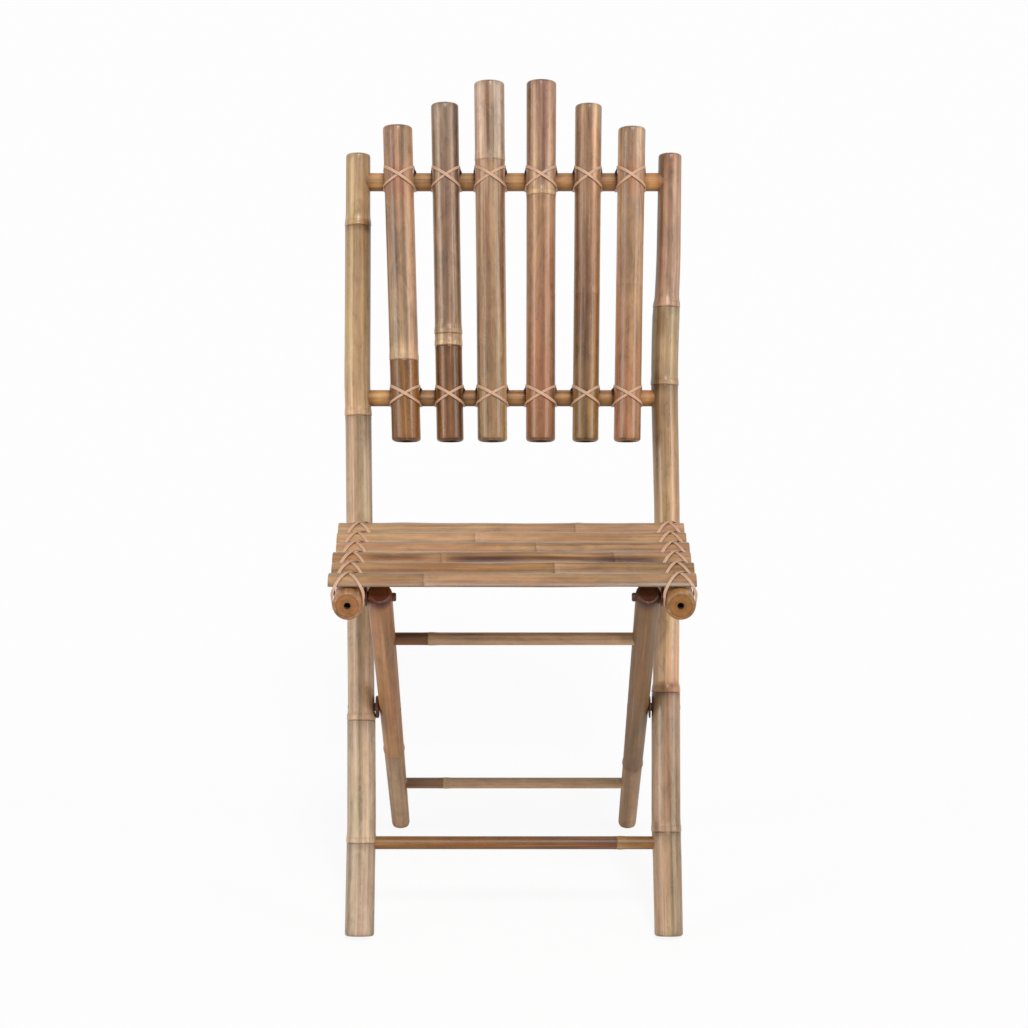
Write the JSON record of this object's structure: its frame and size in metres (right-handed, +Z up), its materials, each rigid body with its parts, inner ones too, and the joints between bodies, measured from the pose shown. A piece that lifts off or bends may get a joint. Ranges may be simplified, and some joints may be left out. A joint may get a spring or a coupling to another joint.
{
  "type": "folding chair",
  "caption": "Upright folding side chair of bamboo culms with crossed legs, a slatted seat, a fanned slat back and crossed cane lacing.",
  "frame": {"origin": "middle of the chair's footprint box on the floor, open and ready to sit on", "axes": "+Z up, +Y towards the back of the chair, +X to the right of someone who stands in front and looks at it"},
  "size_m": [0.3842, 0.4914, 0.9185],
  "materials": {
    "post": "natural bamboo culm, satin",
    "back_slat": "natural bamboo culm, satin",
    "seat": "natural bamboo, whole and split, satin",
    "leg": "darker bamboo culm, satin",
    "stretcher": "thin bamboo culm, satin",
    "peg": "cut bamboo, matt",
    "cane": "split cane strand, matt"
  },
  "bodies": {
    "back_frame": {"left_post": "post", "right_post": "post", "left_seat_rest_peg": "peg", "right_seat_rest_peg": "peg", "front_stretcher": "stretcher", "low_back_rail": "stretcher", "top_back_rail": "stretcher", "back_slat_1": "back_slat", "back_slat_2": "back_slat", "back_slat_3": "back_slat", "back_slat_4": "back_slat", "back_slat_5": "back_slat", "back_slat_6": "back_slat", "left_cross_peg": "peg", "right_cross_peg": "peg", "left_cross_spacer": "peg", "right_cross_spacer": "peg", "low_back_rail_lacing": "cane", "top_back_rail_lacing": "cane"},
    "rear_legs": {"left_rear_leg": "leg", "right_rear_leg": "leg", "upper_leg_stretcher": "stretcher", "lower_leg_stretcher": "stretcher"},
    "seat": {"left_seat_rail": "seat", "right_seat_rail": "seat", "seat_slat_1": "seat", "seat_slat_2": "seat", "seat_slat_3": "seat", "seat_slat_4": "seat", "seat_slat_5": "seat", "seat_slat_6": "seat", "left_seat_hinge_peg": "peg", "right_seat_hinge_peg": "peg", "left_seat_hinge_spacer": "peg", "right_seat_hinge_spacer": "peg", "left_seat_lacing": "cane", "right_seat_lacing": "cane"}
  },
  "joints": [
    {"name": "fold_hinge", "type": "hinge", "parent": "back_frame", "child": "rear_legs", "pos_m": [0, -0.01126, 0.24115], "axis": [-1, 0, 0], "range_deg": [0, 56.7]},
    {"name": "seat_hinge", "type": "hinge", "parent": "rear_legs", "child": "seat", "pos_m": [0, -0.2114, 0.42975], "axis": [1, 0, 0], "range_deg": [0, 127.7]}
  ],
  "couplings": [
    {"joint": "seat_hinge", "follows": "fold_hinge", "ratio": 2.2522}
  ]
}
